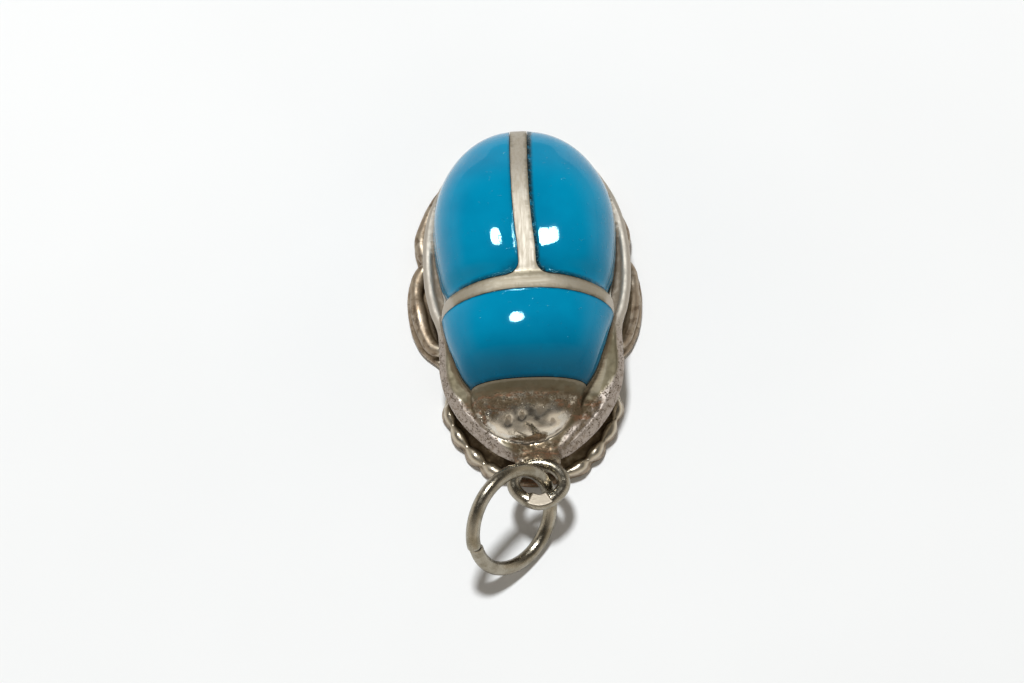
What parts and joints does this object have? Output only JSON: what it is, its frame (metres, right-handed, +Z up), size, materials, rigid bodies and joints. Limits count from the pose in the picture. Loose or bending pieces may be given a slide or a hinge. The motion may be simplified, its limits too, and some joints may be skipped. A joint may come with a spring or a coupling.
{
  "type": "scarab amulet pendant",
  "caption": "Small cast silver scarab with blue inlaid wing cases and thorax, a flat underside, a soldered wire loop at the head and a split jump ring to hang it by.",
  "frame": {"origin": "middle of the flat underside of the foot plate", "axes": "+Z up through the back, -Y towards the head, the loop and the jump ring, +X to the right of the picture"},
  "size_m": [0.0137, 0.0275, 0.0075],
  "materials": {
    "silver": "cast silver, worn bright on the ribs, with brown and coppery tarnish in the hollows and a pitted matte collar",
    "silver_wire": "drawn silver wire, warm grey tarnish with fine scratches",
    "blue_inlay": "opaque turquoise blue enamel or resin, smooth and glossy"
  },
  "bodies": {
    "root": {"body": "silver", "elytron_inlay_left": "blue_inlay", "elytron_inlay_right": "blue_inlay", "pronotum_inlay": "blue_inlay", "hanging_loop": "silver_wire", "jump_ring": "silver_wire"}
  },
  "joints": []
}
